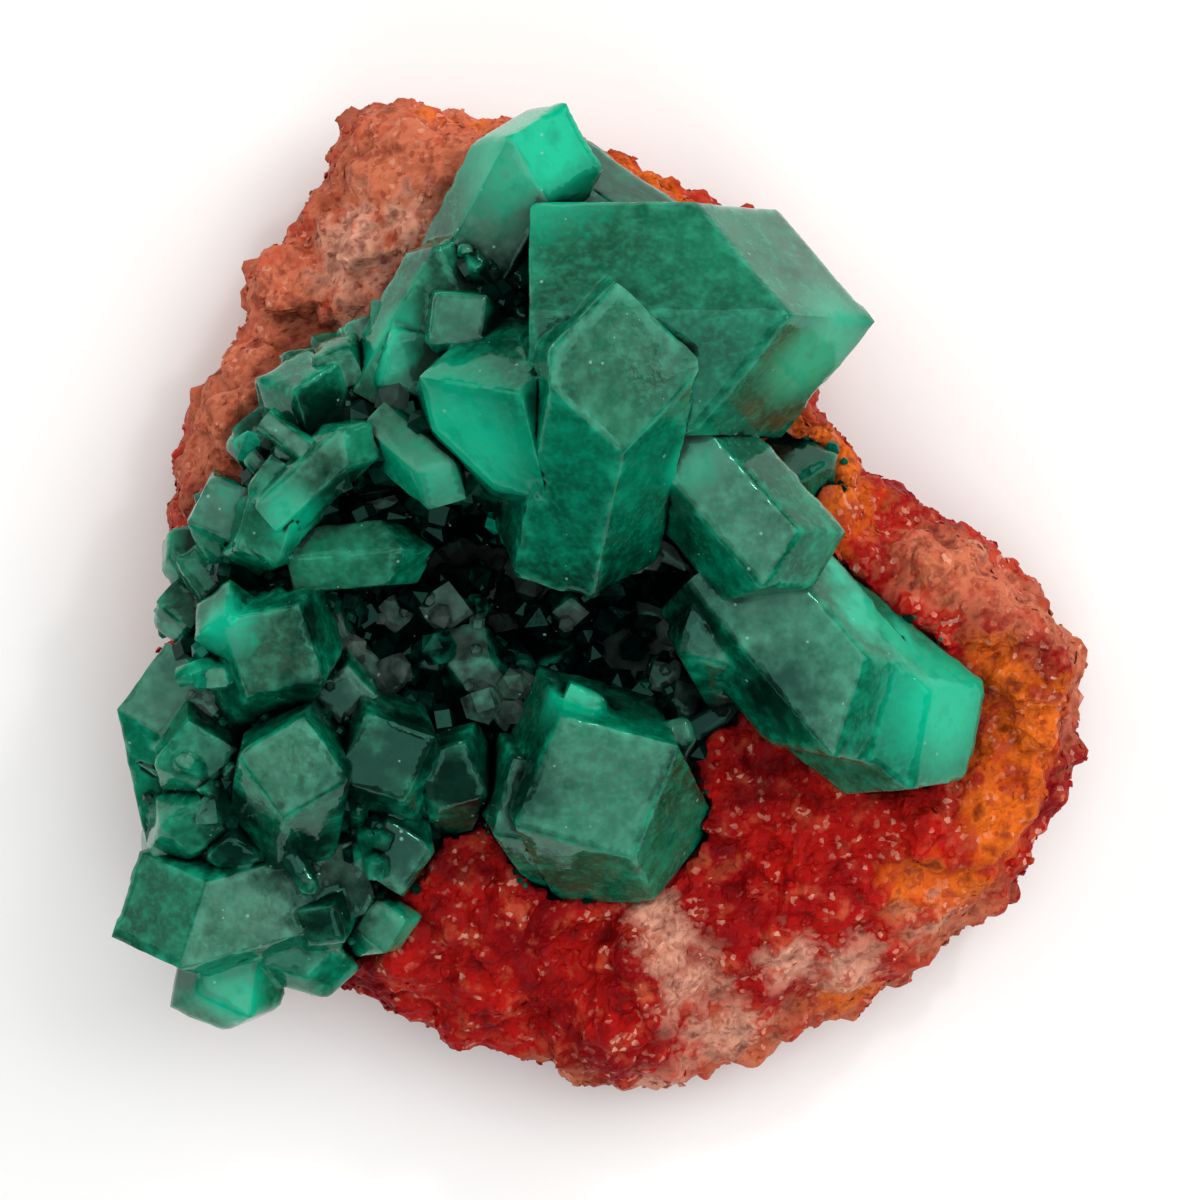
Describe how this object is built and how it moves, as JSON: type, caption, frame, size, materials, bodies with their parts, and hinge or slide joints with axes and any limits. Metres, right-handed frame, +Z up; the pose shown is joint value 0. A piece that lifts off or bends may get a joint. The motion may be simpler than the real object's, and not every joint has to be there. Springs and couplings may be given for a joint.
{
  "type": "dioptase on matrix specimen",
  "caption": "Natural mineral specimen: stubby emerald-green dioptase prisms grown round a dark hollow on an iron-red rock matrix with a flat sawn base.",
  "frame": {"origin": "middle of the box's underside, on the flat base of the rock", "axes": "+Z up out of the crystal side; +Y towards the prong of bare rock behind the tallest crystals, along the longest side of the box"},
  "size_m": [0.05, 0.0518, 0.0277],
  "materials": {
    "red_rock": "rough broken rock stained deep red, with orange, pink and cream sugary grains",
    "dioptase": "emerald-green translucent crystal with glassy flat faces",
    "dioptase_crust": "very dark green druse of small crystals"
  },
  "bodies": {
    "root": {"matrix": "red_rock", "dioptase_cluster": "dioptase", "front_dioptase": "dioptase", "cavity_crystals": "dioptase_crust"}
  },
  "joints": []
}
